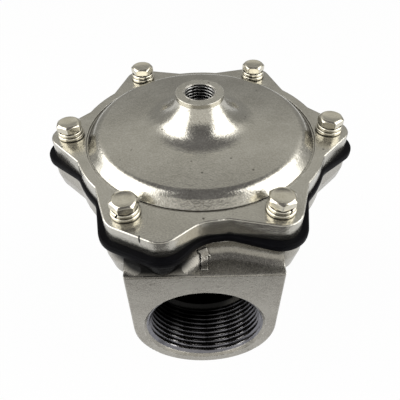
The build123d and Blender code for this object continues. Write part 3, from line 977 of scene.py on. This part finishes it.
# %% Spring tree
spring_seat = Vector((0, 0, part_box("closing_spring")[1].z))
spring_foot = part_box("closing_spring")[0].z
wire_radius = 0.00075
spring_turns = 3.5
spring_values = {
    "Bottom Radius": 0.0184,
    "Top Radius": 0.0126,
    "Height": spring_seat.z - spring_foot - 2 * wire_radius,
    "Turns": spring_turns,
    "Wire Radius": wire_radius,
}


def make_spring_tree(material):
    """A tapered coil of round wire."""
    tree, start, end = new_shape_tree("cone_spring", spring_values)
    coil = add_node(tree, "GeometryNodeCurveSpiral", {
        "Resolution": 60,
        "Start Radius": start.outputs["Bottom Radius"],
        "End Radius": start.outputs["Top Radius"],
        "Height": start.outputs["Height"],
        "Rotations": start.outputs["Turns"],
    })
    wire = add_node(tree, "GeometryNodeCurvePrimitiveCircle", {
        "Resolution": 14, "Radius": start.outputs["Wire Radius"],
    })
    swept = add_node(tree, "GeometryNodeCurveToMesh", {
        "Curve": coil.outputs["Curve"], "Profile Curve": wire.outputs["Curve"], "Fill Caps": True,
    })
    realize_and_paint(tree, swept.outputs["Mesh"], material, end)
    return tree


spring_host = link_object("spring_host", bpy.data.meshes.new("spring_host"))
run_tree(spring_host, make_spring_tree(spring_metal), spring_values)
spring = freeze(spring_host, "cone_spring")
spring.data.transform(Matrix.Translation((0, 0, spring_foot + wire_radius)))
spring.data.shade_smooth()

# %% [markdown]
# The diaphragm
#
# The rubber crosses the joint: its rim is clamped in the flange and its middle
# rides on the moving core. A copy of its solid is merged and cut at a circle
# just inside the roll's crest. The outer ring rides on the housing, and the
# middle stays where it is cut.

# %% Cut the diaphragm at the roll
seam_radius = 0.0339
seam_steps = 180
rim_round = 0.0008
rim_inside = 0.050
rim_corner = math.radians(60)
hole_clear = 0.0045
knife_reach = 0.01
same_place = 1e-6
screw_centres = [
    Vector((circle_radius * math.cos(turn), circle_radius * math.sin(turn)))
    for turn in full_turn(screw_count)
]


def soften_rim(builder):
    """Rounds the outer edges of the clamped rim, which swell out under the screws."""
    sharp = [
        edge for edge in builder.edges
        if edge.is_manifold
        and edge.calc_face_angle() > rim_corner
        and abs(edge.verts[0].co.z - edge.verts[1].co.z) < same_place
        and all(vertex.co.xy.length > rim_inside for vertex in edge.verts)
        and min((edge.verts[0].co.xy - centre).length for centre in screw_centres) > hole_clear
    ]
    bmesh.ops.bevel(builder, geom=sharp, offset=rim_round, segments=4, profile=0.5, affect="EDGES")


def cut_diaphragm(name, operation):
    """One side of the diaphragm, cut by a tall cylinder."""
    mesh = nodes["diaphragm"].data.copy()
    builder = bmesh.new()
    builder.from_mesh(mesh)
    bmesh.ops.remove_doubles(builder, verts=builder.verts, dist=same_place)
    if operation == "DIFFERENCE":
        soften_rim(builder)
    builder.to_mesh(mesh)
    builder.free()
    host = link_piece(name + "_host", mesh, rubber)
    low, high = (corner.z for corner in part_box("diaphragm"))
    ends = (low - knife_reach, high + knife_reach)
    rings = [ring_points(full_turn(seam_steps), seam_radius, height) for height in ends]
    cutter = link_piece("cutter", ring_mesh("cutter", rings, False), rubber)
    knife = host.modifiers.new("cut", "BOOLEAN")
    knife.operation = operation
    knife.object = cutter
    knife.solver = "EXACT"
    piece = freeze(host, name)
    bpy.data.objects.remove(cutter)
    finish_mesh(piece.data, rubber)
    return piece


diaphragm_rim = cut_diaphragm("diaphragm_rim", "DIFFERENCE")
diaphragm_web = cut_diaphragm("diaphragm_web", "INTERSECT")

# %% [markdown]
# What moves with what
#
# Every new piece rides on the housing, apart from the middle of the
# diaphragm, which stays where it is cut.

# %% Tie the pieces to the bodies
def numbered(stem):
    """The names of the six nodes of one kind of fastener."""
    return [f"{stem}_{number}" for number in range(1, screw_count + 1)]


riding = (
    (inlet_thread, (), "body_casting"),
    (outlet_thread, (), "body_casting"),
    (pilot_thread, (), "cover_casting"),
    (cover_screws, numbered("cover_bolt"), "stainless_bolt"),
    (split_washers, numbered("spring_washer"), "stainless_washer"),
    (flat_washers, numbered("flat_washer"), "stainless_washer"),
    (diaphragm_rim, ["diaphragm"], "rubber"),
    (spring, ["closing_spring"], "spring_steel"),
)
for piece, replaced, slot in riding:
    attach(piece, "housing")
    if replaced:
        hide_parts(*replaced)

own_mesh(spring)
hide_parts("diaphragm")
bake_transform(diaphragm_web)
print("tied pieces:", len(riding) + 1)

# %% [markdown]
# The stage
#
# A pale floor catches a faint shadow, and shows white to the camera and in
# reflections. Metal has no colour of its own to speak of: it shows the room. So
# the room is built as a photographer would build it, with a soft box on each
# side, which gives the paired highlights on the boss and the shoulder.

# %% Floor
def background_share(tree, share):
    """A factor that is the share for rays the camera or a reflection sees, else 0."""
    rays = add_node(tree, "ShaderNodeLightPath").outputs
    seen = maths(tree, "MAXIMUM", rays["Is Camera Ray"], rays["Is Glossy Ray"])
    return maths(tree, "MULTIPLY", maths(tree, "MAXIMUM", seen, rays["Is Transmission Ray"]), share)


def level_sheet(name, half_width, first, last, height, material):
    """A level rectangle between two values of Y."""
    mesh = bpy.data.meshes.new(name)
    mesh.from_pydata([
        (-half_width, first, height), (half_width, first, height),
        (half_width, last, height), (-half_width, last, height),
    ], [], [(0, 1, 2, 3)])
    mesh.materials.append(material)
    return link_object(name, mesh)


floor_half = 3.0
floor_drop = 0.0003
floor_share = 0.96
floor_paint, floor_tree, floor_shader = new_material("pale_floor", (0.9, 0.9, 0.9), 0.0, 0.9)
white = add_node(floor_tree, "ShaderNodeEmission", {"Strength": 1.0})
blend = add_node(floor_tree, "ShaderNodeMixShader", {
    "Fac": background_share(floor_tree, floor_share),
    1: floor_shader.outputs["BSDF"],
    2: white.outputs["Emission"],
})
join(floor_tree, blend.outputs["Shader"], floor_tree.nodes["Material Output"].inputs["Surface"])
floor = level_sheet("floor", floor_half, -floor_half, floor_half, -floor_drop, floor_paint)

# %% World
world = bpy.data.worlds.new("studio")
world.use_nodes = True
sky = world.node_tree
sky.nodes.clear()
dim = add_node(sky, "ShaderNodeBackground", {"Color": (0.95, 0.97, 1.0, 1.0), "Strength": 0.2})
bright = add_node(sky, "ShaderNodeBackground", {"Color": (1.0, 1.0, 1.0, 1.0), "Strength": 1.0})
choice = add_node(sky, "ShaderNodeMixShader", {
    "Fac": background_share(sky, 1.0), 1: dim.outputs["Background"], 2: bright.outputs["Background"],
})
add_node(sky, "ShaderNodeOutputWorld", {"Surface": choice.outputs["Shader"]})
bpy.context.scene.world = world

# %% Soft boxes
valve_middle = Vector((0, 0, 0.09))
box_distance = 0.70
box_brightness = 2.75
box_tint = (1.0, 0.99, 0.97)


def soft_box(name, azimuth, elevation, lean, size):
    """A rectangular lamp at a direction in degrees, turned towards the valve and leaning."""
    turn, rise = math.radians(azimuth), math.radians(elevation)
    level = Vector((math.cos(turn), math.sin(turn), 0))
    towards = level * math.cos(rise) + Vector((0, 0, math.sin(rise)))
    lamp = bpy.data.lights.new(name, "AREA")
    lamp.shape = "RECTANGLE"
    lamp.size, lamp.size_y = size
    lamp.energy = box_brightness * math.pi * size[0] * size[1]
    lamp.color = box_tint
    holder = link_object(name, lamp)
    holder.location = valve_middle + towards * box_distance
    leaning = Matrix.Rotation(math.radians(lean), 4, "Z").to_quaternion()
    holder.rotation_euler = ((-towards).to_track_quat("-Z", "Y") @ leaning).to_euler()
    holder.visible_camera = False


soft_box("left_box", azimuth=188, elevation=29, lean=33, size=(0.76, 0.98))
soft_box("right_box", azimuth=-10, elevation=29, lean=-22, size=(0.66, 0.90))
print("lamps:", len(bpy.data.lights))

# %% [markdown]
# The tent
#
# Between the boxes the metal shows the dim rest of the room: the dark strip
# overhead, the paler cloth in front, the grey wall behind, and the light that
# spills past the boxes on both sides. A dome that only reflections see stands
# for all of it. Its brightness is a rule of direction, with soft steps, so each
# zone can be moved by itself. Its lowest ring is under the floor, so that the
# floor shows too.

# %% Reflection tent
def only_in_reflections(stage):
    """Hides a stage piece from everything but glossy rays."""
    for ray in ("camera", "diffuse", "transmission", "volume_scatter", "shadow"):
        setattr(stage, "visible_" + ray, False)


tent_radius = 1.4
tent_rises = np.radians(np.linspace(-4, 88, 24))
tent_steps = 96
tent_level = (0.66, 0.65, 0.61)
tent_tones = {
    "strip": (0.18, 0.175, 0.18),
    "front": (0.95, 0.93, 0.88),
    "wall": (0.36, 0.355, 0.34),
    "spill": (1.20, 1.18, 1.12),
}
tent_zones = {
    "strip": {"sideways": (0.52, 0.32), "back": (0.62, 0.42)},
    "front": {"back": (-0.50, -0.62), "up": (0.72, 0.62)},
    "wall": {"back": (0.3, 0.5), "up": (0.60, 0.46)},
    "spill": {"sideways": (0.35, 0.6), "back": (-0.1, 0.3), "up": (0.45, 0.68)},
}


def make_tent_paint():
    """A glow that depends on the direction from the valve, zone over zone."""
    paint = bpy.data.materials.new("tent_cloth")
    paint.use_nodes = True
    tree = paint.node_tree
    tree.nodes.clear()
    place = add_node(tree, "ShaderNodeTexCoord").outputs["Object"]
    direction = vector_maths(tree, "NORMALIZE", place)
    parts = add_node(tree, "ShaderNodeSeparateXYZ", {"Vector": direction}).outputs
    ways = {"sideways": maths(tree, "ABSOLUTE", parts["X"]), "back": parts["Y"], "up": parts["Z"]}
    tone = tent_level
    for zone, limits in tent_zones.items():
        mask = product(tree, *(soft_step(tree, ways[way], *ends) for way, ends in limits.items()))
        tone = mixed_colour(tree, mask, tone, tent_tones[zone])
    glow = add_node(tree, "ShaderNodeEmission", {"Color": tone, "Strength": 1.0})
    add_node(tree, "ShaderNodeOutputMaterial", {"Surface": glow.outputs["Emission"]})
    return paint


tent_rings = [
    ring_points(full_turn(tent_steps), tent_radius * math.cos(rise), tent_radius * math.sin(rise))
    for rise in tent_rises
]
tent_mesh = ring_mesh("tent", tent_rings, False)
tent_mesh.materials.append(make_tent_paint())
tent = link_object("tent", tent_mesh)
only_in_reflections(tent)
print("tent zones:", list(tent_zones))

# %% [markdown]
# Painted camera shade
#
# The camera's own shade also darkens the floor between it and the valve. It is
# painted as a dark sheet that only reflections see. The shade starts a little
# way out, so the block's front still shows a light floor.

# %% Painted camera shade on the floor
apron_half, apron_near, apron_far, apron_lift = 0.14, -0.135, -0.95, 0.001
camera_shade_paint, apron_tree, apron_shader = new_material("painted_camera_shade", (0.0, 0.0, 0.0), 0.0, 1.0)
fill_inputs(apron_tree, apron_shader, {
    "Specular IOR Level": 0.0, "Emission Color": (0.11, 0.105, 0.10, 1.0), "Emission Strength": 1.0,
})
camera_shade_sheet = level_sheet("camera_shade_sheet", apron_half, apron_far, apron_near, apron_lift, camera_shade_paint)
only_in_reflections(camera_shade_sheet)
print("apron reaches", apron_far, "m in front")
